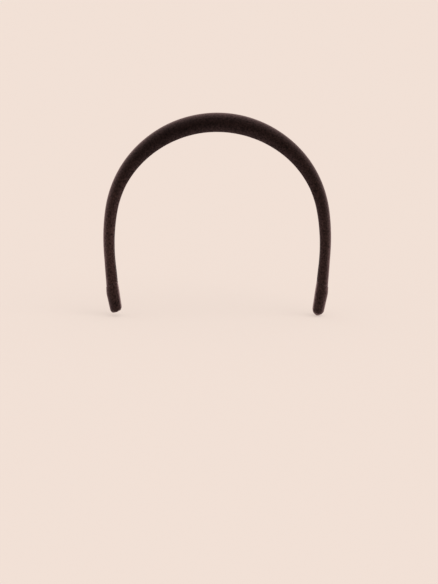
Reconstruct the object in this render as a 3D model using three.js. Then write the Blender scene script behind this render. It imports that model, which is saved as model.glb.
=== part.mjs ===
// A padded velvet headband: a springy plastic hoop, a foam pad glued along its outer side, a velvet
// cover turned in over the hoop's edges, a ribbon lining over the raw edges, a velvet pouch on each end
// and the sewing threads. Millimetres. X runs ear to ear (+X is the wearer's left), Z is up and the
// wearer faces -Y. The origin is on the lining, at the middle of the crown.
import * as THREE from 'three';

// ---- the hoop line: the face of the lining, from the middle of the crown down one leg ----
const HOOP_ARCS = [
  { radius: 75.5, degrees: 42.0 },
  { radius: 70.4, degrees: 37.5 },
  { radius: 135.5, degrees: 18.2 },
];                                       // a straight leg follows the last arc
const HALF_LENGTH = 175;                 // along the hoop line, crown to tip

// ---- the band's outline across the hoop line ----
const CROWN_THICKNESS = 12.8;
const LEG_THICKNESS = 7.0;               // the thinnest place, low on the leg
const END_THICKNESS = 9.1;               // where the foam is cut thin, short of the tip
const TIP_THICKNESS = 8.1;
const SWELL_LENGTH = 150;                // the crown's fullness dies away over this length
const THINNEST = 134;                    // from here the leg thickens again towards its end
const CROWN_HALF_WIDTH = 9.5;            // front to back
const END_HALF_WIDTH = 5.4;
const FLAT_SHARE = 0.66;                 // the flat inner face as a share of the width
const WIDEST_SHARE = 0.36;               // how far up its depth the section is widest

// ---- the layers, from the lining outwards ----
const SEAM = 0.1;                        // clearance between two layers that touch
const RIBBON = 0.5;
const TAPE = 0.15;
const VELVET = 0.8;
const HOOP = 1.8;
const FOAM_TAPE = 0.2;
const POUCH = 0.7;
const FLANGE_GAP = 0.36;                 // half the space between the turned-in edges, as a share of the flat

// ---- the ends ----
const POUCH_LENGTH = 21.2;
const SLANT = 3.2;                       // the pouch's mouth is this much nearer the tip on its outer side
const KINK = 15;                         // the foam is cut thin from here to its end
const FOAM_STOP = 6;
const COVER_STOP = 3.2;
const HOOP_STOP = 3.6;
const LINING_STOP = 13;
const LEFT_TIP = 1.5;                    // the left pouch reaches this far past the nominal tip
const RIGHT_TIP = -0.7;                  // and the right one, folded flat, stops this far short
const TIP_ROUND = 2.6;
const MOUTH = HALF_LENGTH - POUCH_LENGTH;

// ---- the threads ----
const THREAD_RADIUS = 0.2;
const STITCH = 4;
const STATION_STEP = 8;

const GRID_END = 148;
const END_STATIONS = [
  MOUTH - 0.9, MOUTH - 0.25, MOUTH + 2.5, HALF_LENGTH - KINK, HALF_LENGTH - LINING_STOP, HALF_LENGTH - 10,
  HALF_LENGTH - FOAM_STOP, HALF_LENGTH - HOOP_STOP - 1.2, HALF_LENGTH - HOOP_STOP, HALF_LENGTH - COVER_STOP,
];

function smooth(from, to, value) {
  const t = Math.min(Math.max((value - from) / (to - from), 0), 1);
  return t * t * (3 - 2 * t);
}

function mix(a, b, t) {
  return a + (b - a) * t;
}

// One point of the hoop line at the distance s from the crown, with the angle turned so far.
function hoopLine(s) {
  let left = Math.abs(s);
  let x = 0;
  let z = 0;
  let turned = 0;
  for (const { radius, degrees } of HOOP_ARCS) {
    const step = Math.min(left, radius * THREE.MathUtils.degToRad(degrees));
    const next = turned + step / radius;
    x += radius * (Math.sin(next) - Math.sin(turned));
    z += radius * (Math.cos(next) - Math.cos(turned));
    turned = next;
    left -= step;
  }
  x += left * Math.cos(turned);
  z -= left * Math.sin(turned);
  return { x, z, turned };
}

// The middle facet of the lining lies level across the origin, so the hoop line is set down by its rise.
const CROWN_DROP = hoopLine(STATION_STEP / 2).z;

function swell(s, length) {
  return s < length ? Math.cos((Math.PI / 2) * (s / length)) ** 2 : 0;
}

function thickness(s) {
  const d = Math.abs(s);
  const kink = HALF_LENGTH - KINK;
  if (d > kink) {
    return mix(END_THICKNESS, TIP_THICKNESS, (d - kink) / KINK);
  }
  const body = mix(LEG_THICKNESS, CROWN_THICKNESS, swell(d, SWELL_LENGTH));
  return body + (END_THICKNESS - LEG_THICKNESS) * smooth(THINNEST, kink, d);
}

function halfWidth(s) {
  return mix(END_HALF_WIDTH, CROWN_HALF_WIDTH, swell(Math.abs(s), MOUTH));
}

// Near the pouch the layers inside it sit further out, to leave room for its wall.
function lift(s) {
  return (POUCH + SEAM) * smooth(MOUTH - 14, MOUTH - 2, Math.abs(s));
}

function tucked(s) {
  return Math.abs(s) > MOUTH - 0.6 ? POUCH + SEAM : 0;
}

// A point at the distance s along the hoop, y across the band and h out from the lining's face.
function place(s, y, h) {
  const d = Math.abs(s);
  const near = Math.max(0, 1 - Math.abs(d - MOUTH) / 16);
  const lean = SLANT * near * near * (h / thickness(s) - 0.5);
  const { x, z, turned } = hoopLine(d + lean);
  const side = s < 0 ? -1 : 1;
  return new THREE.Vector3(side * (x + h * Math.sin(turned)), y, z - CROWN_DROP + h * Math.cos(turned));
}

// ---- the sections, as [y, h] points ----
function heights(s) {
  const flat = lift(s) + RIBBON + TAPE + 2 * SEAM;
  const top = thickness(s) - tucked(s);
  return { flat, top, widest: mix(flat, top, WIDEST_SHARE), hoop: flat + VELVET + SEAM };
}

function flatHalf(s) {
  return (halfWidth(s) - tucked(s)) * FLAT_SHARE;
}

// Half of the D-shaped profile, from the edge of the flat round to the top, moved inwards by inset.
function halfProfile(s, flat, top, width, inset) {
  const corner = flatHalf(s);
  const { widest } = heights(s);
  const points = [];
  for (let k = 0; k < 3; k += 1) {
    const angle = (Math.PI / 2) * (k / 3);
    points.push([
      corner + (width - inset - corner) * Math.sin(angle),
      widest - (widest - flat - inset) * Math.cos(angle),
    ]);
  }
  for (let k = 0; k <= 5; k += 1) {
    const angle = (Math.PI / 2) * (k / 5);
    points.push([(width - inset) * Math.cos(angle), widest + (top - inset - widest) * Math.sin(angle)]);
  }
  return points;
}

function bothSides(half) {
  const other = half.slice(0, -1).map(([y, h]) => [-y, h]);
  return [...half, ...other.reverse()];
}

function velvetSection(s) {
  const { flat, top } = heights(s);
  const width = halfWidth(s) - tucked(s);
  const edge = flatHalf(s) * FLANGE_GAP;
  const outer = bothSides([[edge, flat], ...halfProfile(s, flat, top, width, 0)]);
  const inner = bothSides([[edge, flat + VELVET], ...halfProfile(s, flat, top, width, VELVET)]);
  return [...outer, ...inner.reverse()];
}

function foamSection(s) {
  const { top, widest, hoop } = heights(s);
  const inset = VELVET + 2 * SEAM;
  const bottom = hoop + HOOP + FOAM_TAPE + 2 * SEAM;
  const ceiling = top - inset;
  const width = halfWidth(s) - tucked(s) - inset;
  const half = [];
  for (let k = 0; k <= 6; k += 1) {
    const h = mix(bottom, ceiling, Math.sin((Math.PI / 2) * (k / 6)));
    const reach = (h - widest) / (h > widest ? ceiling - widest : widest);
    half.push([width * Math.sqrt(Math.max(0, 1 - reach * reach)), h]);
  }
  return bothSides(half);
}

function stripSection(halfSpan, from, to) {
  return [[halfSpan, from], [halfSpan, to], [-halfSpan, to], [-halfSpan, from]];
}

function hoopHalfSpan(s) {
  const rounding = smooth(HALF_LENGTH - HOOP_STOP - 1.3, HALF_LENGTH - HOOP_STOP, Math.abs(s));
  return (flatHalf(s) + 0.2) * (1 - 0.3 * rounding);
}

function hoopSection(s) {
  const { hoop } = heights(s);
  const span = hoopHalfSpan(s);
  const bevel = 0.5;
  return bothSides([
    [span - bevel, hoop], [span, hoop + bevel], [span, hoop + HOOP - bevel], [span - bevel, hoop + HOOP],
    [0, hoop + HOOP],
  ]);
}

function ribbonHalfSpan(s) {
  return flatHalf(s) - 0.3;
}

function ribbonSection(s) {
  const from = lift(s);
  const span = ribbonHalfSpan(s);
  const bevel = 0.15;
  return bothSides([[span - bevel, from], [span, from + bevel], [span, from + RIBBON], [0, from + RIBBON]]);
}

// ---- closed solids from rings of points ----
function closedSolid(rings, capOutline) {
  const count = rings[0].length;
  const points = rings.flat();
  const triangles = [];
  for (let r = 0; r + 1 < rings.length; r += 1) {
    for (let k = 0; k < count; k += 1) {
      const a = r * count + k;
      const b = r * count + ((k + 1) % count);
      triangles.push([a, b, b + count], [a, b + count, a + count]);
    }
  }
  const outline = capOutline.map(([y, h]) => new THREE.Vector2(y, h));
  const last = (rings.length - 1) * count;
  for (const [a, b, c] of THREE.ShapeUtils.triangulateShape(outline, [])) {
    triangles.push([a, c, b], [last + a, last + b, last + c]);
  }
  let volume = 0;
  for (const [a, b, c] of triangles) {
    volume += points[a].dot(points[b].clone().cross(points[c]));
  }
  if (volume < 0) {
    triangles.forEach((triangle) => triangle.reverse());
  }
  const geometry = new THREE.BufferGeometry();
  geometry.setAttribute('position', new THREE.Float32BufferAttribute(points.flatMap((p) => [p.x, p.y, p.z]), 3));
  geometry.setIndex(triangles.flat());
  geometry.computeVertexNormals();
  return geometry;
}

// The shared stations that lie between two ends, with the ends themselves.
function stations(from, to) {
  const half = [];
  for (let s = STATION_STEP / 2; s < GRID_END + 1; s += STATION_STEP) {
    half.push(s);
  }
  half.push(...END_STATIONS);
  const all = [...half.map((s) => -s), ...half].sort((a, b) => a - b);
  return [from, ...all.filter((s) => s > from + 0.05 && s < to - 0.05), to];
}

function sweep(section, stop) {
  const reach = HALF_LENGTH - stop;
  const rings = stations(-reach, reach).map((s) => section(s).map(([y, h]) => place(s, y, h)));
  return closedSolid(rings, section(reach));
}

// ---- the pouches ----
function pouchRing(s, inset) {
  return bothSides(halfProfile(s, 0, thickness(s), halfWidth(s), inset));
}

function pouch(side, reach, nosing) {
  const tip = HALF_LENGTH + reach;
  const walls = stations(MOUTH, tip - TIP_ROUND).map((s) => ({ s, inset: 0 }));
  const lining = stations(MOUTH, tip - 1.2).reverse().map((s) => ({ s, inset: POUCH }));
  const nose = [0.45, 0.75, 0.93, 1].map((share) => ({
    s: tip - TIP_ROUND + TIP_ROUND * share,
    inset: nosing * (1 - Math.sqrt(1 - share * share * 0.96)),
  }));
  const rings = [...lining, ...walls, ...nose];
  return closedSolid(
    rings.map(({ s, inset }) => pouchRing(s, inset).map(([y, h]) => place(side * s, y, h))),
    pouchRing(HALF_LENGTH, 0),
  );
}

// ---- the threads ----
function threadRing(centre, across, out) {
  return [[1, 0], [0, 1], [-1, 0], [0, -1]].map(([a, b]) => (
    centre.clone().addScaledVector(across, a * THREAD_RADIUS).addScaledVector(out, b * THREAD_RADIUS)
  ));
}

// A point on the straight chord between the two shared stations round s.
function onChord(s, y, h) {
  const list = stations(-HALF_LENGTH, HALF_LENGTH);
  const k = list.findIndex((station) => station >= s);
  const [a, b] = [list[k - 1], list[k]];
  return place(a, y(a), h(a)).lerp(place(b, y(b), h(b)), (s - a) / (b - a));
}

// The stitching that lies in the step beside the lining's edge.
function edgeStitching(side) {
  const reach = MOUTH - 2.5;
  const count = 2 * Math.round(reach / STITCH);
  const rings = [];
  for (let k = 0; k <= count; k += 1) {
    const s = mix(-reach, reach, k / count);
    const wave = k % 2 === 0 ? 0.06 : -0.06;
    const y = (station) => side * (ribbonHalfSpan(station) + 0.36 + wave);
    const h = (station) => lift(station) + 0.42 + wave;
    const centre = onChord(s, y, h);
    const out = onChord(s, y, (station) => h(station) + 1).sub(centre).normalize();
    rings.push(threadRing(centre, new THREE.Vector3(0, 1, 0), out));
  }
  return closedSolid(rings, [[1, 0], [0, 1], [-1, 0], [0, -1]]);
}

// The stitching across the lining at the mouth of a pouch.
function endStitching(side) {
  const count = 8;
  const rings = [];
  for (let k = 0; k <= count; k += 1) {
    const s = MOUTH - 0.42 + (k % 2 === 0 ? 0.05 : -0.05);
    const y = mix(-1, 1, k / count) * (ribbonHalfSpan(MOUTH) - 0.2);
    const h = lift(s) - 0.45;
    const centre = place(side * s, y, h);
    const along = place(side * (s + 1), y, h).sub(centre).normalize();
    const out = place(side * s, y, h + 1).sub(centre).normalize();
    rings.push(threadRing(centre, along, out));
  }
  return closedSolid(rings, [[1, 0], [0, 1], [-1, 0], [0, -1]]);
}

// ---- the pieces ----
const MATERIALS = {
  velvet: { color: 0x2b1e1d, roughness: 0.9, metalness: 0 },
  ribbon: { color: 0x17151a, roughness: 0.6, metalness: 0 },
  plastic: { color: 0x1c1c1e, roughness: 0.45, metalness: 0 },
  foam: { color: 0xe8dfc4, roughness: 0.95, metalness: 0 },
  tape: { color: 0xd9d6cc, roughness: 0.5, metalness: 0 },
  thread: { color: 0x121013, roughness: 0.7, metalness: 0 },
};

const group = new THREE.Group();
group.name = 'headband';

function add(name, material, geometry) {
  const mesh = new THREE.Mesh(geometry, new THREE.MeshStandardMaterial(MATERIALS[material]));
  mesh.name = name;
  group.add(mesh);
}

function liningTapeSection(s) {
  const from = lift(s) + RIBBON + SEAM;
  return stripSection(ribbonHalfSpan(s) - 0.4, from, from + TAPE);
}

function foamTapeSection(s) {
  const from = heights(s).hoop + HOOP + SEAM;
  return stripSection(hoopHalfSpan(s) - 0.8, from, from + FOAM_TAPE);
}

add('core_band', 'plastic', sweep(hoopSection, HOOP_STOP));
add('foam_tape', 'tape', sweep(foamTapeSection, FOAM_STOP));
add('foam_pad', 'foam', sweep(foamSection, FOAM_STOP));
add('velvet_cover', 'velvet', sweep(velvetSection, COVER_STOP));
add('lining_tape', 'tape', sweep(liningTapeSection, LINING_STOP));
add('lining_ribbon', 'ribbon', sweep(ribbonSection, LINING_STOP));
add('left_end_wrap', 'velvet', pouch(1, LEFT_TIP, 2.4));
add('right_end_wrap', 'velvet', pouch(-1, RIGHT_TIP, 1.3));
add('front_edge_stitching', 'thread', edgeStitching(-1));
add('rear_edge_stitching', 'thread', edgeStitching(1));
add('left_end_stitching', 'thread', endStitching(1));
add('right_end_stitching', 'thread', endStitching(-1));

export default group;
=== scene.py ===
"""A black padded velvet headband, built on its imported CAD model.

The CAD hoop line and layer sizes are repeated here in millimetres, and every piece is swept along them at a
finer step: the velvet cover (pulled tight by a cloth simulation), its two end pouches, the ribbed ribbon
lining, the stitches, and the foam, hoop and adhesive films inside.

Sections are written as (y, h): y runs from front to back and h is the height above the lining's inner face.
A station s is the distance along the hoop line from the crown, negative on the right leg. Named sizes are
millimetres; place() turns a station and a section point into metres in the shared frame.
"""
import math
import random

import bpy
from mathutils import Matrix, Vector, noise


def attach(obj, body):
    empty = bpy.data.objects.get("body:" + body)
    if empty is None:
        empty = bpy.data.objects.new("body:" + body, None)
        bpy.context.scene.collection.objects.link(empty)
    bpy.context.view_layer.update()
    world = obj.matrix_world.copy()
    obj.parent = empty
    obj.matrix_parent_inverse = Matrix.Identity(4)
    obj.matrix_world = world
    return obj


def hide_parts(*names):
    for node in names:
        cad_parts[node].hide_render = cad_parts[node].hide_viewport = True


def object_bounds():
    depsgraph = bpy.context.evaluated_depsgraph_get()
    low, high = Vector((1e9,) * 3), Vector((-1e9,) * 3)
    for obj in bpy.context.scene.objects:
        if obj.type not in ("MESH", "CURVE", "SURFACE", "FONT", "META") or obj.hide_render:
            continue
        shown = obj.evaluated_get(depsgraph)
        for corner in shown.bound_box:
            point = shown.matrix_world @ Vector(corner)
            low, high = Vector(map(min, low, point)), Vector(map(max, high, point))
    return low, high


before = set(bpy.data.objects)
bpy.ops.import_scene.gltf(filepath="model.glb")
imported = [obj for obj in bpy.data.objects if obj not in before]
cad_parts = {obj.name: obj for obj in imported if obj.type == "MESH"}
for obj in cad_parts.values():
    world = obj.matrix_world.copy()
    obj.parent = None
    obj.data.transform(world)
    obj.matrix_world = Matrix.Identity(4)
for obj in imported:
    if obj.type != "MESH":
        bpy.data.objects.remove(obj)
CAD_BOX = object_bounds()
MM = 0.001

# ---- the camera: sensor and lens in millimetres, its place in metres and its tilt in degrees ----
SENSOR_WIDTH = 36
LENS = 93.8
CAMERA_ASIDE = 0.0013
CAMERA_AWAY = 1.089
CAMERA_ABOVE = 0.155                     # above the middle of the band
CAMERA_TILT = 11.0                       # below level

# ---- the hoop line, from the middle of the crown down one leg (mm, degrees) ----
HOOP_ARCS = ((75.5, 42.0), (70.4, 37.5), (135.5, 18.2))
HALF_LENGTH = 175
CROWN_DROP = -0.106                      # the CAD's middle facet lies level across the origin

# ---- the band's outline across the hoop line ----
CROWN_THICKNESS = 12.8
LEG_THICKNESS = 7.0
END_THICKNESS = 9.1
TIP_THICKNESS = 8.1
SWELL_LENGTH = 150                       # the crown's fullness fades out over this length of each leg
THINNEST = 134                           # from here on, the leg thickens towards its end
CROWN_HALF_WIDTH = 9.5
END_HALF_WIDTH = 5.4
FLAT_SHARE = 0.66                        # the flat inner side, as a share of the whole width
WIDEST_SHARE = 0.36                      # height of the widest place, as a share of the velvet's height

# ---- the layers ----
SEAM = 0.1                               # the gap between two layers
RIBBON = 0.5
TAPE = 0.15
VELVET = 0.8
HOOP = 1.8
FOAM_TAPE = 0.2
POUCH = 0.7
POUCH_LIP = 0.3                          # the pouch's wall, pressed thin where its mouth is sewn down
FLANGE_GAP = 0.36                        # the turn-ins stop at this share of the way out to the fold
RIBBON_INSET = 0.6                       # from the edge of the flat inner side to the ribbon
FOLD_OUTSIDE = 0.3                       # from the ribbon's edge to the velvet's fold
CROWN_ROLL = 0.5                         # how far the velvet's rolled edge stands proud of the lining
LEG_ROLL = 0.3
ROLL_SHARE = 0.38                        # where the roll is lowest, from the fold to the full width
TURN_IN_END = 0.25                       # the flat turn-in ends this far before the fold
POUCH_FLAT = 0.9                         # the pouch's flat side, as a share of the band's
HOOP_OVERHANG = 0.2                      # the hoop reaches this far past the flat inner side
HOOP_BEVEL = 0.6
FOAM_TAPE_INSET = 0.8                    # from the hoop's edge
LINING_TAPE_INSET = 0.4                  # from the ribbon's edge

# ---- the ends ----
POUCH_LENGTH = 21.2
MOUTH = HALF_LENGTH - POUCH_LENGTH
SLANT = 3.2                              # the mouth's slant across the section
SLANT_REACH = 16                         # how far from the mouth the stations lean with it
LIFT_RUN = 12                            # the lining rises to the pouch's wall over this length
TUCK_RUN = 0.5                           # the cover dips under the pouch over this length
WALL_RUN = 5                             # the pouch's wall reaches its full thickness over this length
KINK = 15                                # the outer side falls off over this last length
FOAM_STOP = 6
COVER_STOP = 3.2
HOOP_STOP = 3.6
LINING_STOP = 13                         # each stop is a layer's end, back from the hoop line's end
POUCH_PLUMP = 0.15                       # how far the pouch's velvet stands off the CAD's outline
TIP_UNEVEN = 0.7                         # how far the sewn tips waver
TIP_SEAM = 0.12                          # depth of the dimple where a tip is sewn shut
FLOOR_DROP = 0.9                         # the floor lies this far below the CAD, under the longer tip
# The sewn tips: reach past the hoop line, length of the rounding, share of the section left flat at the
# end, how much shorter the inner side is than the outer side, and where the unevenness is read.
LEFT_TIP = {"reach": 2.1, "rounding": 4.2, "flat_share": 0.0, "slant": 0.6, "sample": 8.4}
RIGHT_TIP = {"reach": -0.3, "rounding": 2.8, "flat_share": 0.5, "slant": 1.3, "sample": -5.3}

# ---- the fine surface ----
COVER_STEP = 3.0                         # between the cover's stations
END_STEP = 1.0                           # the same near the ends, for every layer
POUCH_STEP = 0.8                         # between the outer side's stations
POUCH_INNER_STEP = 1.5                   # between the lining side's stations
LAYER_STEP = 2.5                         # between the stations of the layers inside
MOUTH_STATIONS = (-1.5, -0.65, -0.4, -0.15, 0.4)     # more stations of the cover, from the mouth
RIB = 0.8                                # pitch of the ribbon's crosswise ribs
RIB_HEIGHT = 0.05
RIB_WAVE = 0.06                          # how far the ribbon's edge follows its ribs
STITCH = 4.0                             # pitch of the slip stitches
STITCH_SLANT = 1.5
TACK = 1.2                               # pitch of the tacks across a pouch's mouth
TACK_ROW = 2.4                           # half the length of their row
THREAD_RADIUS = 0.17
THREAD_STEPS = 8
ROLL_POINTS = 8                          # points of a cover row from its cut edge to past the roll
THIN_POINTS = range(3, 10)               # points of a cover row, from its edge, on the pressed roll
ROLL_THINNING = 0.6                      # the velvet's thickness there, as a share
SIMULATION_INSET = 0.25                  # the simulated velvet starts this far inside its final shape
CLOTH_FRAMES = 20
CLOTH_CAP = 0.45                         # the simulation may move a point this far
PUCKER = 0.10                            # height of the small gathers beside the lining
PUCKER_WIDTH = 2.2                       # in points of a cover row
PUCKER_PACE = 0.33                       # gathers along the band, in noise units per millimetre
UNEVEN = 0.09                            # height of the padding's slight unevenness
UNEVEN_PACE = 34                         # in noise units per metre
POUCH_RIPPLE = 0.014                     # share by which a pouch's section wavers
TIP_RIPPLE = 0.03                        # the same at its tip

# ---- the velvet's pile ----
PALE_NAP_AND_LIGHT = (0.0300, 0.0165, 0.0142)     # paler face-on colour, partly the pile's nap and partly painted light
PAINTED_SHEEN_COLOUR = (0.084, 0.056, 0.059)             # colour of the painted sheen at the edges
# How the face-on tone and the painted sheen change along the band: (place along the band from the right tip,
# share of the pale colour, strength of the painted sheen).
NAP_AND_PAINTED_LIGHT = ((0.0, 0.45, 1.2), (0.03, 0.5, 1.5), (0.08, 0.9, 1.8), (0.14, 1.0, 2.0), (0.22, 0.6, 1.6),
           (0.30, 0.22, 1.0), (0.38, 0.02, 0.85), (0.50, 0.0, 1.0), (0.58, 0.08, 0.85), (0.66, 0.2, 0.7),
           (0.74, 0.32, 0.75), (0.82, 0.40, 1.5), (0.90, 0.45, 2.0), (1.0, 0.5, 1.7))
# Painted sheen, brighter as the surface turns away: (from face on to edge on, share of the painted sheen
# colour).
PAINTED_SHEEN_BY_ANGLE = ((0.0, 0.02), (0.1, 0.045), (0.18, 0.10), (0.31, 0.26), (0.5, 0.52), (0.75, 0.82), (1.0, 1.0))
# Painted sheen along both inner edges beside the lining, over the roll: (place round the section, share).
PAINTED_INNER_SHEEN = ((0.04, 0.0), (0.10, 0.26), (0.14, 0.24), (0.19, 0.10), (0.25, 0.0),
             (0.75, 0.0), (0.81, 0.10), (0.86, 0.24), (0.90, 0.26), (0.96, 0.0))
# How strong that painted sheen is along the band, most on the crown and its shoulders.
INNER_SHEEN_ALONG = ((0.14, 0.28), (0.24, 0.9), (0.34, 1.0), (0.50, 1.05), (0.58, 1.4), (0.66, 1.6),
               (0.73, 1.2), (0.80, 0.5), (0.88, 0.28))


# ======================== camera ========================
def make_camera():
    """The front view: about 1.1 m away, a little above the band and tilted down past it."""
    middle = (CAD_BOX[0] + CAD_BOX[1]) / 2
    data = bpy.data.cameras.new("camera")
    data.sensor_width = SENSOR_WIDTH
    data.lens = LENS
    camera = bpy.data.objects.new("camera", data)
    bpy.context.scene.collection.objects.link(camera)
    camera.location = Vector((CAMERA_ASIDE, -CAMERA_AWAY, middle.z + CAMERA_ABOVE))
    tilt = Matrix.Rotation(math.radians(90 - CAMERA_TILT), 4, "X")
    camera.matrix_world = Matrix.Translation(camera.location) @ tilt
    bpy.context.scene.camera = camera


# ======================== the hoop line and outline ========================
def mix(a, b, t):
    return a + (b - a) * t


def smooth(start, end, value):
    """0 before start, 1 after end, and an even curve between them."""
    t = min(max((value - start) / (end - start), 0), 1)
    return t * t * (3 - 2 * t)


def hoop_line(s):
    """x, z and the angle turned at the distance s from the crown."""
    left, x, z, turned = s, 0.0, 0.0, 0.0
    for radius, degrees in HOOP_ARCS:
        step = min(left, radius * math.radians(degrees))
        after = turned + step / radius
        x += radius * (math.sin(after) - math.sin(turned))
        z += radius * (math.cos(after) - math.cos(turned))
        turned = after
        left -= step
    return x + left * math.cos(turned), z - left * math.sin(turned), turned


def swell(s, length):
    """1 at the crown, falling to 0 at length."""
    return math.cos(math.pi / 2 * s / length) ** 2 if s < length else 0.0


def thickness(s):
    d = abs(s)
    kink = HALF_LENGTH - KINK
    body = mix(LEG_THICKNESS, CROWN_THICKNESS, swell(d, SWELL_LENGTH))
    body += (END_THICKNESS - LEG_THICKNESS) * smooth(THINNEST, kink, d)
    fall = (END_THICKNESS - TIP_THICKNESS) / KINK * max(0, d - kink)
    return body - fall


def half_width(s):
    return mix(END_HALF_WIDTH, CROWN_HALF_WIDTH, swell(abs(s), MOUTH))


def pouch_wall(s):
    return mix(POUCH_LIP, POUCH, smooth(MOUTH, MOUTH + WALL_RUN, abs(s)))


def lift(s):
    """How far the lining rises towards a pouch, to leave room for its wall."""
    return (pouch_wall(s) + SEAM) * smooth(MOUTH - LIFT_RUN, MOUTH - TUCK_RUN, abs(s))


def tucked(s):
    """How far the layers under a pouch are pressed in to make room for its wall."""
    return (pouch_wall(s) + SEAM) * smooth(MOUTH - TUCK_RUN, MOUTH, abs(s))


def place(s, y, h):
    """The point (y, h) of the section at s, in metres; near a mouth the sections lean with its slant."""
    d = abs(s)
    near = max(0, 1 - abs(d - MOUTH) / SLANT_REACH)
    lean = SLANT * near * near * (h / thickness(s) - 0.5)
    x, z, turned = hoop_line(max(0, d + lean))
    side = -1 if s < 0 else 1
    return Vector((side * (x + h * math.sin(turned)), y, z - CROWN_DROP + h * math.cos(turned))) * MM


def heights(s):
    """The velvet's flat inner level, the top, the level of the greatest width and the hoop's level."""
    flat = lift(s) + RIBBON + TAPE + 2 * SEAM
    top = thickness(s) - tucked(s)
    return flat, top, mix(flat, top, WIDEST_SHARE), flat + VELVET + SEAM


def flat_half(s):
    """Half the width of the flat inner side."""
    return (half_width(s) - tucked(s)) * FLAT_SHARE


def ribbon_half_span(s):
    return flat_half(s) - RIBBON_INSET


def quarter(steps):
    """The angles that divide a quarter turn into steps, without its two ends."""
    return [math.pi / 2 * k / steps for k in range(1, steps)]


def dome(widest, width, top):
    """The outer half of a section, from its widest point up to the top."""
    angles = [0.0] + quarter(9) + [math.pi / 2]
    return [(width * math.cos(a), widest + (top - widest) * math.sin(a)) for a in angles]


def both_sides(half):
    """A half section mirrored onto the other side; its last point lies in the middle."""
    return half + [(-y, h) for y, h in reversed(half[:-1])]


# ======================== meshes ========================
def new_object(name, vertices, faces, uvs=None):
    mesh = bpy.data.meshes.new(name)
    mesh.from_pydata(vertices, [], faces)
    mesh.polygons.foreach_set("use_smooth", [True] * len(mesh.polygons))
    if uvs:
        layer = mesh.uv_layers.new(name="flow")
        for loop in mesh.loops:
            layer.data[loop.index].uv = uvs[loop.vertex_index]
    mesh.update()
    obj = bpy.data.objects.new(name, mesh)
    bpy.context.scene.collection.objects.link(obj)
    return obj


def bridge(rows, count, ring):
    """Quads between neighbouring rows of points; ring closes each row on itself."""
    faces = []
    for r in range(rows - 1):
        for k in range(count if ring else count - 1):
            a = r * count + k
            b = r * count + (k + 1) % count
            faces.append((a, b, b + count, a + count))
    return faces


def flow_uvs(stations, row):
    """A map in metres: along the hoop and round the section."""
    round_section = [0.0]
    for (y0, h0), (y1, h1) in zip(row, row[1:]):
        round_section.append(round_section[-1] + math.hypot(y1 - y0, h1 - h0))
    return [(s * MM, v * MM) for s in stations for v in round_section]


def velvet_uvs(stations, row):
    """The velvet's map: metres along the hoop, and 0 to 1 round the section."""
    flow = flow_uvs(stations, row)
    girth = flow[-1][1]
    return [(u, v / girth) for u, v in flow]


def solid(name, stations, section):
    """A closed solid through section(s), placed along the hoop, its two ends capped."""
    rows = [section(s) for s in stations]
    count = len(rows[0])
    vertices = [place(s, y, h) for s, row in zip(stations, rows) for y, h in row]
    faces = bridge(len(rows), count, ring=True)
    faces.append(tuple(range(count - 1, -1, -1)))
    faces.append(tuple((len(rows) - 1) * count + k for k in range(count)))
    obj = new_object(name, vertices, faces, flow_uvs(stations, rows[len(rows) // 2]))
    face_outwards(obj)
    return obj


def face_outwards(obj):
    """Turns a closed mesh's faces outwards, going by the sign of its volume."""
    mesh = obj.data
    volume = 0.0
    mesh.calc_loop_triangles()
    for triangle in mesh.loop_triangles:
        a, b, c = (mesh.vertices[i].co for i in triangle.vertices)
        volume += a.dot(b.cross(c))
    if volume < 0:
        mesh.flip_normals()


def apply_modifiers(obj):
    """Turns the evaluated shape into the object's own mesh."""
    graph = bpy.context.evaluated_depsgraph_get()
    mesh = bpy.data.meshes.new_from_object(obj.evaluated_get(graph), preserve_all_data_layers=True,
                                           depsgraph=graph)
    obj.modifiers.clear()
    obj.data = mesh


def spaced(start, end, step):
    """Even stations from start to end, about step apart."""
    count = max(1, round((end - start) / step))
    return [mix(start, end, k / count) for k in range(count + 1)]


def whole_band(stop, step, fine=()):
    """Stations from end to end of the band, closer near the ends, with extra ones at fine on both legs."""
    reach = HALF_LENGTH - stop
    half = spaced(step / 2, MOUTH - 5, step) + spaced(MOUTH - 4, reach, END_STEP) + list(fine)
    half = sorted(s for s in half if s < reach - 0.3) + [reach]
    return [-s for s in reversed(half)] + half


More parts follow.
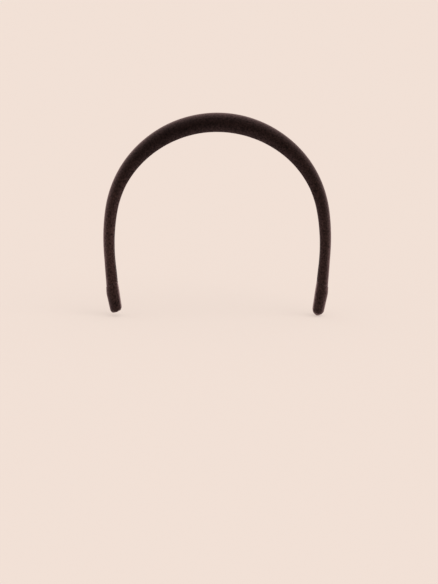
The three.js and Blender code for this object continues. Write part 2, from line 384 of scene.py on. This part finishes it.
# ======================== materials ========================
class Nodes:
    """A material's node tree, with short calls to add and join nodes."""

    def __init__(self, name):
        self.material = bpy.data.materials.new(name)
        self.material.use_nodes = True
        self.tree = self.material.node_tree
        self.shader = self.tree.nodes["Principled BSDF"]

    def add(self, kind, **values):
        """A node; each value sets its property, or the input socket of that name."""
        node = self.tree.nodes.new(kind)
        for key, value in values.items():
            if hasattr(node, key):
                setattr(node, key, value)
            else:
                node.inputs[key.replace("_", " ").title()].default_value = value
        return node

    def join(self, source, target):
        self.tree.links.new(source, target)

    def set(self, **values):
        """Sets the shader's own sockets by name."""
        for key, value in values.items():
            socket = key.replace("_", " ").title().replace("Ior", "IOR")
            self.shader.inputs[socket].default_value = value

    def position(self, scale, stretch=(1, 1, 1), uv=False):
        """Coordinates in units of 1 / scale metres."""
        source = self.add("ShaderNodeTexCoord").outputs["UV" if uv else "Object"]
        mapping = self.add("ShaderNodeMapping")
        mapping.inputs["Scale"].default_value = [scale * c for c in stretch]
        self.join(source, mapping.inputs["Vector"])
        return mapping.outputs["Vector"]

    def on_the_band(self):
        """0 to 1 from the right tip to the left tip, and 0 to 1 round the section, on a velvet map."""
        split = self.add("ShaderNodeSeparateXYZ")
        self.join(self.add("ShaderNodeTexCoord").outputs["UV"], split.inputs["Vector"])
        along = self.add("ShaderNodeMapRange")
        along.inputs["From Min"].default_value = -HALF_LENGTH * MM
        along.inputs["From Max"].default_value = HALF_LENGTH * MM
        self.join(split.outputs["X"], along.inputs["Value"])
        return along.outputs["Result"], split.outputs["Y"]

    def noise(self, scale, detail=3, stretch=(1, 1, 1), uv=False, rough=0.5):
        node = self.add("ShaderNodeTexNoise", detail=detail, roughness=rough)
        node.inputs["Scale"].default_value = 1.0
        self.join(self.position(scale, stretch, uv), node.inputs["Vector"])
        return node.outputs["Fac"]

    def ramp(self, source, stops):
        """Colours at positions along source."""
        node = self.add("ShaderNodeValToRGB")
        for element, (at, value) in zip(node.color_ramp.elements, (stops[0], stops[-1])):
            element.position = at
            element.color = (*value, 1)
        for at, value in stops[1:-1]:
            node.color_ramp.elements.new(at).color = (*value, 1)
        self.join(source, node.inputs["Fac"])
        return node.outputs["Color"]

    def greys(self, source, stops):
        """Grey levels at positions along source."""
        return self.ramp(source, [(at, (level, level, level)) for at, level in stops])

    def blend(self, factor, a, b, how="MIX"):
        """Mixes colour a towards b by factor; each may be a socket or a value."""
        node = self.add("ShaderNodeMix", data_type="RGBA", blend_type=how)
        for value, socket in ((factor, node.inputs[0]), (a, node.inputs[6]), (b, node.inputs[7])):
            if isinstance(value, bpy.types.NodeSocket):
                self.join(value, socket)
            else:
                socket.default_value = value if isinstance(value, float) else (*value, 1)
        return node.outputs[2]

    def bump(self, source, distance, strength=1.0, under=None):
        node = self.add("ShaderNodeBump")
        node.inputs["Distance"].default_value = distance
        node.inputs["Strength"].default_value = strength
        self.join(source, node.inputs["Height"])
        if under is not None:
            self.join(under, node.inputs["Normal"])
        return node.outputs["Normal"]


def velvet_material():
    """Dense short pile: nearly black face on, with a soft plum-grey sheen where the surface turns away,
    partly the shader's sheen and partly painted sheen in the colour.
    """
    n = Nodes("velvet")
    # The nap: streaks along the band, soft patches, and the grain of single tufts.
    streaks = n.noise(160, detail=4, stretch=(1, 0.011, 1), uv=True, rough=0.6)
    patches = n.noise(38, detail=2)
    pile = n.noise(800, detail=5, rough=0.68)
    nap = n.blend(0.35, streaks, patches)
    dark = n.ramp(nap, [(0.35, (0.0046, 0.0021, 0.0018)), (0.65, (0.0088, 0.0046, 0.0041))])
    # Along the band the face turns paler, partly by the pile's nap and partly as painted light.
    along, around = n.on_the_band()
    pale_nap_and_light = n.greys(along, [(at, share) for at, share, _ in NAP_AND_PAINTED_LIGHT])
    # Strength of the painted sheen along the band.
    strength = n.greys(along, [(at, level) for at, _, level in NAP_AND_PAINTED_LIGHT])
    face = n.blend(pale_nap_and_light, dark, PALE_NAP_AND_LIGHT)
    # Painted sheen in the colour: brighter as the surface turns away, and along the inner edges over the
    # roll.
    facing = n.add("ShaderNodeLayerWeight", blend=0.42).outputs["Facing"]
    turned = n.greys(facing, PAINTED_SHEEN_BY_ANGLE)
    inner_sheen_strength = n.greys(along, INNER_SHEEN_ALONG)
    # Painted sheen along the inner edges, scaled along the band.
    inner = n.blend(1.0, n.greys(around, PAINTED_INNER_SHEEN), inner_sheen_strength, how="MULTIPLY")
    painted_sheen_share = n.blend(1.0, turned, inner, how="ADD")
    # The painted sheen colour, laid over the face-on colour.
    painted_sheen = n.blend(1.0, strength, PAINTED_SHEEN_COLOUR, how="MULTIPLY")
    colour = n.blend(painted_sheen_share, face, painted_sheen)
    grain = n.greys(pile, [(0.32, 0.15), (0.68, 1.8)])
    n.join(n.blend(1.0, colour, grain, how="MULTIPLY"), n.shader.inputs["Base Color"])
    n.set(roughness=0.95, specular_ior_level=0.02, sheen_weight=0.5, sheen_roughness=0.38,
          sheen_tint=(1.0, 0.82, 0.84, 1))
    coarse = n.bump(streaks, 0.00012, 0.5)
    n.join(n.bump(pile, 0.00016, 0.8, under=coarse), n.shader.inputs["Normal"])
    return n.material


def ribbon_material():
    """Grosgrain: fine yarns along the ribbon over the modelled ribs."""
    n = Nodes("grosgrain")
    yarns = n.noise(1, detail=2, stretch=(600, 5200, 1), uv=True)
    colour = n.ramp(yarns, [(0.3, (0.0045, 0.0035, 0.0038)), (0.7, (0.0120, 0.0095, 0.0100))])
    n.join(colour, n.shader.inputs["Base Color"])
    n.set(roughness=0.72, specular_ior_level=0.18, sheen_weight=0.05, sheen_roughness=0.4)
    n.join(n.bump(yarns, 0.00008, 0.7), n.shader.inputs["Normal"])
    return n.material


def thread_material():
    """Two-ply polyester sewing thread."""
    n = Nodes("thread")
    twist = n.noise(5200, detail=1, stretch=(1, 1, 0.35))
    colour = n.ramp(twist, [(0.3, (0.0050, 0.0040, 0.0042)), (0.7, (0.0180, 0.0140, 0.0145))])
    n.join(colour, n.shader.inputs["Base Color"])
    n.set(roughness=0.6, specular_ior_level=0.2)
    n.join(n.bump(twist, 0.00008, 0.8), n.shader.inputs["Normal"])
    return n.material


def plastic_material():
    """Moulded plastic with a faint orange-peel skin."""
    n = Nodes("moulded_plastic")
    skin = n.noise(900, detail=3)
    n.join(n.ramp(skin, [(0.3, (0.020, 0.020, 0.022)), (0.7, (0.034, 0.034, 0.036))]),
           n.shader.inputs["Base Color"])
    n.join(n.greys(skin, [(0.3, 0.38), (0.7, 0.52)]), n.shader.inputs["Roughness"])
    n.join(n.bump(skin, 0.00003, 0.5), n.shader.inputs["Normal"])
    return n.material


def foam_material():
    """Cream open-cell foam, with painted shade darkening the middle of each pore."""
    n = Nodes("foam")
    cells = n.add("ShaderNodeTexVoronoi")
    cells.inputs["Scale"].default_value = 1.0
    n.join(n.position(1700), cells.inputs["Vector"])
    # Painted shade: darker and yellower towards the middle of each cell.
    colour = n.ramp(cells.outputs["Distance"], [(0.05, (0.46, 0.39, 0.26)), (0.45, (0.80, 0.73, 0.55))])
    n.join(colour, n.shader.inputs["Base Color"])
    n.set(roughness=0.95, subsurface_weight=0.15)
    n.join(n.bump(cells.outputs["Distance"], 0.0003, 0.9), n.shader.inputs["Normal"])
    return n.material


def tape_material():
    """Milky double-sided adhesive film with small trapped bubbles."""
    n = Nodes("adhesive_tape")
    bubbles = n.noise(1400, detail=2)
    n.join(n.ramp(bubbles, [(0.4, (0.62, 0.60, 0.52)), (0.7, (0.78, 0.77, 0.72))]),
           n.shader.inputs["Base Color"])
    n.set(roughness=0.35)
    n.join(n.bump(bubbles, 0.00003, 0.4), n.shader.inputs["Normal"])
    return n.material


# ======================== the velvet cover ========================
def roll_level(s):
    """The lowest level of the velvet's rolled edge beside the lining."""
    proud = mix(LEG_ROLL, CROWN_ROLL, swell(abs(s), SWELL_LENGTH))
    return tucked(s) - proud * (1 - smooth(MOUTH - 10, MOUTH - 1, abs(s)))


def cover_row(s, inset):
    """Half a turn-in under the lining, up and over the rolled edge, and round the padding to the top."""
    flat, top, widest, _ = heights(s)
    width = half_width(s) - tucked(s) - inset
    corner = ribbon_half_span(s) + FOLD_OUTSIDE
    edge = corner * FLANGE_GAP
    lowest = mix(corner, width, ROLL_SHARE)
    level = roll_level(s)
    half = [(edge, flat), (mix(edge, corner, 0.5), flat), (corner - TURN_IN_END, flat)]
    for angle in quarter(4) + [math.pi / 2]:
        half.append((lowest - (lowest - corner) * math.cos(angle), mix(flat, level, math.sin(angle))))
    for angle in quarter(6):
        half.append((mix(lowest, width, math.sin(angle)), widest - (widest - level) * math.cos(angle)))
    return both_sides(half + dome(widest, width, top - inset))


def pull_cloth(obj, pinned):
    """Inflates the sheet a little against its pinned edges, then holds each point within CLOTH_CAP."""
    group = obj.vertex_groups.new(name="pinned")
    group.add(pinned, 1.0, "REPLACE")
    before = [v.co.copy() for v in obj.data.vertices]
    cloth = obj.modifiers.new("cloth", "CLOTH")
    settings = cloth.settings
    settings.quality = 6
    settings.mass = 0.3
    settings.tension_stiffness = 8
    settings.compression_stiffness = 8
    settings.shear_stiffness = 3
    settings.bending_stiffness = 0.2
    settings.use_pressure = True
    settings.uniform_pressure_force = 3000
    settings.effector_weights.gravity = 0
    settings.vertex_group_mass = "pinned"
    cloth.collision_settings.use_collision = False
    cloth.point_cache.frame_start = 1
    cloth.point_cache.frame_end = CLOTH_FRAMES
    for number in range(1, CLOTH_FRAMES + 1):
        bpy.context.scene.frame_set(number)
        pulled = obj.evaluated_get(bpy.context.evaluated_depsgraph_get())
    after = [v.co.copy() for v in pulled.data.vertices]
    obj.modifiers.clear()
    bpy.context.scene.frame_set(1)
    for vertex, start, end in zip(obj.data.vertices, before, after):
        move = end - start
        if move.length > CLOTH_CAP * MM:
            move = move.normalized() * CLOTH_CAP * MM
        vertex.co = start + move


def velvet_cover(material):
    """The wrap: its outer face is pulled tight, gathered and smoothed, and then thickened inwards."""
    stations = whole_band(COVER_STOP, COVER_STEP, [MOUTH + offset for offset in MOUTH_STATIONS])
    start_inset = SIMULATION_INSET
    rows = [cover_row(s, start_inset) for s in stations]
    count = len(rows[0])
    vertices = [place(s, y, h) for s, row in zip(stations, rows) for y, h in row]
    middle_row = rows[len(rows) // 2]
    uvs = velvet_uvs(stations, middle_row)
    obj = new_object("cover_velvet", vertices, bridge(len(rows), count, ring=False), uvs)
    face_sheet_outwards(obj, count)
    pinned = []
    for r, s in enumerate(stations):
        for k in range(count):
            if abs(s) > MOUTH - 4 or min(k, count - 1 - k) < ROLL_POINTS:
                pinned.append(r * count + k)
    pull_cloth(obj, pinned)
    gather(obj, stations, count)
    full_thickness = obj.vertex_groups.new(name="full thickness")
    places_in_row = [i % count for i in range(len(vertices))]
    away_from_roll = [i for i, k in enumerate(places_in_row) if min(k, count - 1 - k) not in THIN_POINTS]
    full_thickness.add(away_from_roll, 1.0, "REPLACE")
    finer = obj.modifiers.new("finer", "SUBSURF")
    finer.levels = finer.render_levels = 2
    cloth = obj.modifiers.new("cloth thickness", "SOLIDIFY")
    cloth.thickness = VELVET * MM
    cloth.offset = -1
    cloth.vertex_group = "full thickness"
    cloth.thickness_vertex_group = ROLL_THINNING
    apply_modifiers(obj)
    obj.data.materials.append(material)
    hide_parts("velvet_cover")
    return obj


def face_sheet_outwards(obj, count):
    """The sheet's faces look away from the hoop: upwards at the middle of the crown's top row."""
    middle = (len(obj.data.vertices) // count // 2) * count + count // 2
    obj.data.update()
    if obj.data.vertices[middle].normal.z < 0:
        obj.data.flip_normals()


def gather(obj, stations, count):
    """Small gathers where the velvet turns in beside the lining, and the foam's slight unevenness."""
    obj.data.update()
    normals = [v.normal.copy() for v in obj.data.vertices]
    for r, s in enumerate(stations):
        free = 1 - smooth(MOUTH - 6, MOUTH - 2, abs(s))
        for k in range(count):
            vertex = obj.data.vertices[r * count + k]
            edge = min(k, count - 1 - k)
            near_turn = math.exp(-((edge - ROLL_POINTS) / PUCKER_WIDTH) ** 2)
            side = 1 if k < count / 2 else -1
            wave = noise.noise(Vector((s * PUCKER_PACE, side * 7.0, 0.0)))
            uneven = noise.noise(vertex.co * UNEVEN_PACE)
            shift = PUCKER * near_turn * wave + UNEVEN * uneven
            vertex.co += normals[r * count + k] * shift * free * MM


# ======================== the pouches ========================
def pouch_row(s, inset, ripple=0.0):
    """A pouch's section: a flat inner side, rounded edges and a domed outer side."""
    top = thickness(s) - inset
    width = half_width(s) - inset
    widest = thickness(s) * WIDEST_SHARE
    corner = flat_half(s) * POUCH_FLAT
    half = [(corner * 0.45, inset)]
    for angle in [0.0] + quarter(7):
        half.append((mix(corner, width, math.sin(angle)), widest - (widest - inset) * math.cos(angle)))
    row = both_sides(half + dome(widest, width, top))
    if ripple:
        row = [(y * (1 + ripple * noise.noise(Vector((y * 0.5, h * 0.5, s * 0.22)))), h) for y, h in row]
    return row


def shrunk(row, s, share):
    """The row drawn in towards the middle of the section."""
    middle = thickness(s) / 2
    return [(y * share, middle + (h - middle) * share) for y, h in row]


def pouch(side, shape, name, node, material):
    """A velvet pocket: its lining side, a rolled mouth, the outer side and a rounded tip, sewn shut."""
    tip = HALF_LENGTH + shape["reach"] + 2 * POUCH_PLUMP
    rounding = shape["rounding"]

    def shifted(s, y, h):
        """The station s, moved a little near the tip: slanted across the section and uneven."""
        inner_share = 1 - h / thickness(tip)
        uneven = TIP_UNEVEN * noise.noise(Vector((0.4 * y, 0.4 * h, shape["sample"])))
        return s + (uneven - shape["slant"] * inner_share) * smooth(tip - rounding - 2, tip, s)

    rings = []
    # The lining side, from near the tip up to the mouth.
    for s in spaced(tip - 1.2, MOUTH + 0.4, POUCH_INNER_STEP):
        rings.append((s, pouch_row(s, pouch_wall(s))))
    # The rolled mouth.
    lip = POUCH_LIP / 2
    for k in range(7):
        angle = math.pi * k / 6
        rings.append((MOUTH + lip - lip * math.sin(angle), pouch_row(MOUTH, lip * (1 + math.cos(angle)))))
    # The outer side, down to the rounded tip and the seam that shuts it.
    for s in spaced(MOUTH + 0.6, tip - rounding, POUCH_STEP):
        plump = POUCH_PLUMP * smooth(MOUTH + 0.5, MOUTH + 7, s)
        rings.append((s, pouch_row(s, -plump, POUCH_RIPPLE if s > MOUTH + 2 else 0.0)))
    for angle in quarter(9) + [math.pi / 2]:
        out = math.sin(angle)
        s = tip - rounding * (1 - out)
        share = mix(shape["flat_share"], 1, math.sqrt(1 - out * out))
        rings.append((s, shrunk(pouch_row(s, -POUCH_PLUMP, TIP_RIPPLE), s, share)))
    for share, narrowing in ((0.75, 0.75), (0.45, 0.6), (0.18, 0.6)):
        rings.append((tip + TIP_SEAM * (1 - share), shrunk(rings[-1][1], tip, narrowing)))
    count = len(rings[0][1])
    vertices = [place(side * shifted(s, y, h), y, h) for s, row in rings for y, h in row]
    faces = bridge(len(rings), count, ring=True)
    faces.append(tuple(range(count - 1, -1, -1)))
    faces.append(tuple((len(rings) - 1) * count + k for k in range(count)))
    obj = new_object(name, vertices, faces, velvet_uvs([side * s for s, _ in rings], rings[0][1]))
    face_outwards(obj)
    finer = obj.modifiers.new("finer", "SUBSURF")
    finer.levels = finer.render_levels = 1
    apply_modifiers(obj)
    obj.data.materials.append(material)
    girth = flow_uvs([0], pouch_row(MOUTH + 5, 0))[-1][1]
    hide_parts(node)
    return obj


# ======================== the lining ========================
def ribbon_row(s, height):
    """The ribbon's section at one station; height lifts its face to make a rib."""
    start = lift(s)
    span = ribbon_half_span(s) + RIB_WAVE * height
    face = start - RIB_HEIGHT * height
    half = [(span * share, face + 0.02 * share ** 6) for share in (0.0, 0.3, 0.6, 0.85, 0.96)]
    half += [(span, face + 0.09), (span + 0.03, start + RIBBON * 0.5), (span, start + RIBBON - 0.08)]
    back = [(span * share, start + RIBBON) for share in (0.96, 0.6, 0.3, 0.0)]
    return both_sides(half + back)[:-1]


def lining_ribbon(material):
    reach = HALF_LENGTH - LINING_STOP
    stations = spaced(-reach, reach, RIB / 4)
    obj = solid("lining_grosgrain", stations, lambda s: ribbon_row(s, math.cos(2 * math.pi * s / RIB)))
    obj.data.materials.append(material)
    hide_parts("lining_ribbon")
    return obj


# ======================== the threads ========================
def tube(points, radius, sides=8):
    """Vertices and faces of a closed round tube through points, with tapered ends."""
    vertices = []
    for k, point in enumerate(points):
        ahead = points[min(k + 1, len(points) - 1)] - points[max(k - 1, 0)]
        across = ahead.orthogonal().normalized()
        up = ahead.cross(across).normalized()
        size = radius * (0.55 if k in (0, len(points) - 1) else 1.0)
        for j in range(sides):
            angle = 2 * math.pi * j / sides
            vertices.append(point + (across * math.cos(angle) + up * math.sin(angle)) * size)
    faces = bridge(len(points), sides, ring=True)
    faces.append(tuple(range(sides - 1, -1, -1)))
    faces.append(tuple((len(points) - 1) * sides + j for j in range(sides)))
    return vertices, faces


def join_tubes(name, runs, material, node):
    """One object from all the stitches of a seam."""
    vertices, faces = [], []
    for points in runs:
        more, sides = tube(points, THREAD_RADIUS * MM)
        faces += [tuple(i + len(vertices) for i in face) for face in sides]
        vertices += more
    obj = new_object(name, vertices, faces)
    obj.data.materials.append(material)
    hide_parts(node)
    return obj


def stitch_height(base, t, rise, sink):
    """The height of a thread at t of its way: it arches by rise over base and sinks in at both ends."""
    arch = math.sin(math.pi * t)
    return base - rise * arch + sink * (1 - arch)


def edge_stitches(side, name, node, material):
    """Slip stitches from the lining's edge into the velvet, one every STITCH millimetres."""
    rng = random.Random(11 if side > 0 else 12)
    reach = MOUTH - 3
    runs = []
    for s in spaced(-reach, reach, STITCH):
        s += rng.uniform(-0.3, 0.3)
        slant = STITCH_SLANT + rng.uniform(-0.2, 0.2)
        points = []
        for k in range(THREAD_STEPS + 1):
            t = k / THREAD_STEPS
            y = ribbon_half_span(s) + mix(-0.45, 0.75, t)
            base = lift(s) + mix(0.02, 0.12, smooth(0.3, 0.7, t))
            points.append(place(s + slant * (t - 0.5), side * y, stitch_height(base, t, 0.17, 0.12)))
        runs.append(points)
    return join_tubes(name, runs, material, node)


def end_stitches(side, name, node, material):
    """Short stitches that tack a pouch's mouth down on the lining."""
    rng = random.Random(21 if side > 0 else 22)
    runs = []
    for y in spaced(-TACK_ROW, TACK_ROW, TACK):
        y += rng.uniform(-0.12, 0.12)
        points = []
        for k in range(THREAD_STEPS + 1):
            t = k / THREAD_STEPS
            s = MOUTH + mix(-1.0, 1.1, t)
            base = mix(lift(MOUTH) + 0.05, 0.15, smooth(0.2, 0.65, t))
            points.append(place(side * s, y + 0.25 * (t - 0.5), stitch_height(base, t, 0.06, 0.1)))
        runs.append(points)
    return join_tubes(name, runs, material, node)


# ======================== the inside ========================
def foam_row(s):
    """A crescent: flat on the hoop's tape, domed under the velvet."""
    _, top, widest, hoop = heights(s)
    inset = VELVET + 2 * SEAM
    bottom = hoop + HOOP + FOAM_TAPE + 2 * SEAM
    ceiling = top - inset
    width = half_width(s) - tucked(s) - inset
    half = [(0.0, bottom)]
    for angle in [0.0] + quarter(14) + [math.pi / 2]:
        h = mix(bottom, ceiling, math.sin(angle))
        reach = (h - widest) / ((ceiling - widest) if h > widest else widest)
        y = width * math.sqrt(max(0, 1 - reach * reach))
        half.append((y, h))
    return both_sides(half)[:-1]


def hoop_half_span(s):
    """Half the hoop's width; its ends are rounded off."""
    rounding = smooth(HALF_LENGTH - HOOP_STOP - 3, HALF_LENGTH - HOOP_STOP, abs(s))
    return (flat_half(s) + HOOP_OVERHANG) * (1 - 0.35 * rounding ** 2)


def hoop_row(s):
    """A flat bar with rounded edges."""
    hoop = heights(s)[3]
    span = hoop_half_span(s)
    inner = span - HOOP_BEVEL
    low = hoop + HOOP_BEVEL
    high = hoop + HOOP - HOOP_BEVEL
    half = [(0.0, hoop), (inner, hoop)]
    half += [(inner + HOOP_BEVEL * math.sin(a), low - HOOP_BEVEL * math.cos(a)) for a in quarter(4)]
    half += [(span, low), (span, high)]
    half += [(inner + HOOP_BEVEL * math.cos(a), high + HOOP_BEVEL * math.sin(a)) for a in quarter(4)]
    half += [(inner, hoop + HOOP), (0.0, hoop + HOOP)]
    return both_sides(half)[:-1]


def strip_row(span, start, end):
    """A flat strip's section, from height start to end."""
    return [(span, start), (span, end), (0, end), (-span, end), (-span, start), (0, start)]


def foam_film_row(s):
    start = heights(s)[3] + HOOP + SEAM
    return strip_row(hoop_half_span(s) - FOAM_TAPE_INSET, start, start + FOAM_TAPE)


def lining_film_row(s):
    start = lift(s) + RIBBON + SEAM
    return strip_row(ribbon_half_span(s) - LINING_TAPE_INSET, start, start + TAPE)


def inner_pieces(foam, plastic, tape):
    """The foam pad, the hoop and the two adhesive films."""
    pad = solid("foam_crescent", whole_band(FOAM_STOP, LAYER_STEP), foam_row)
    pad.data.materials.append(foam)
    hoop = solid("hoop_core", whole_band(HOOP_STOP, LAYER_STEP), hoop_row)
    hoop.data.materials.append(plastic)
    foam_film = solid("foam_film", whole_band(FOAM_STOP, LAYER_STEP), foam_film_row)
    lining_film = solid("lining_film", whole_band(LINING_STOP, LAYER_STEP), lining_film_row)
    for film in (foam_film, lining_film):
        film.data.materials.append(tape)
    for piece, node, slot in ((pad, "foam_pad", "foam"), (hoop, "core_band", "plastic"),
                              (foam_film, "foam_tape", "adhesive_tape"),
                              (lining_film, "lining_tape", "adhesive_tape")):
        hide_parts(node)
    return [pad, hoop, foam_film, lining_film]


# ======================== floor and light ========================
def make_floor():
    """A pale floor that runs to the horizon, where it meets a world of nearly the same colour.

    It lies just under the longer tip and gives off a little light of its own, to be as pale as the world."""
    size = 400.0
    level = CAD_BOX[0].z - FLOOR_DROP * MM
    corners = [(-size, -size, level), (size, -size, level), (size, size, level), (-size, size, level)]
    floor = new_object("floor", corners, [(0, 1, 2, 3)])
    n = Nodes("pale_floor")
    n.set(base_color=(0.265, 0.258, 0.253, 1), roughness=0.95, specular_ior_level=0.0,
          emission_color=(0.885, 0.752, 0.673, 1), emission_strength=0.65)
    floor.data.materials.append(n.material)


def add_sun(name, direction, strength, width, colour):
    """A sun lamp shining along direction; width is its apparent size in degrees."""
    data = bpy.data.lights.new(name, "SUN")
    data.energy = strength
    data.angle = math.radians(width)
    data.color = colour
    light = bpy.data.objects.new(name, data)
    light.rotation_mode = "QUATERNION"
    light.rotation_quaternion = Vector(direction).to_track_quat("-Z", "Y")
    bpy.context.scene.collection.objects.link(light)


def make_light():
    world = bpy.data.worlds.new("studio")
    world.use_nodes = True
    world.node_tree.nodes["Background"].inputs["Color"].default_value = (0.885, 0.765, 0.700, 1)
    world.node_tree.nodes["Background"].inputs["Strength"].default_value = 1.0
    bpy.context.scene.world = world
    add_sun("key", (-0.55, 0.45, -1.0), 1.1, 50, (1.0, 0.88, 0.80))
    bpy.context.scene.view_settings.view_transform = "Standard"
    bpy.context.scene.view_settings.look = "None"


# ======================== everything together ========================
make_camera()
velvet = velvet_material()
thread = thread_material()
made = inner_pieces(foam_material(), plastic_material(), tape_material())
made.append(velvet_cover(velvet))
made.append(pouch(1, LEFT_TIP, "left_pouch", "left_end_wrap", velvet))
made.append(pouch(-1, RIGHT_TIP, "right_pouch", "right_end_wrap", velvet))
made.append(lining_ribbon(ribbon_material()))
made.append(edge_stitches(-1, "front_slip_stitches", "front_edge_stitching", thread))
made.append(edge_stitches(1, "rear_slip_stitches", "rear_edge_stitching", thread))
made.append(end_stitches(1, "left_tack_stitches", "left_end_stitching", thread))
made.append(end_stitches(-1, "right_tack_stitches", "right_end_stitching", thread))
for piece in made:
    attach(piece, "root")
make_floor()
make_light()
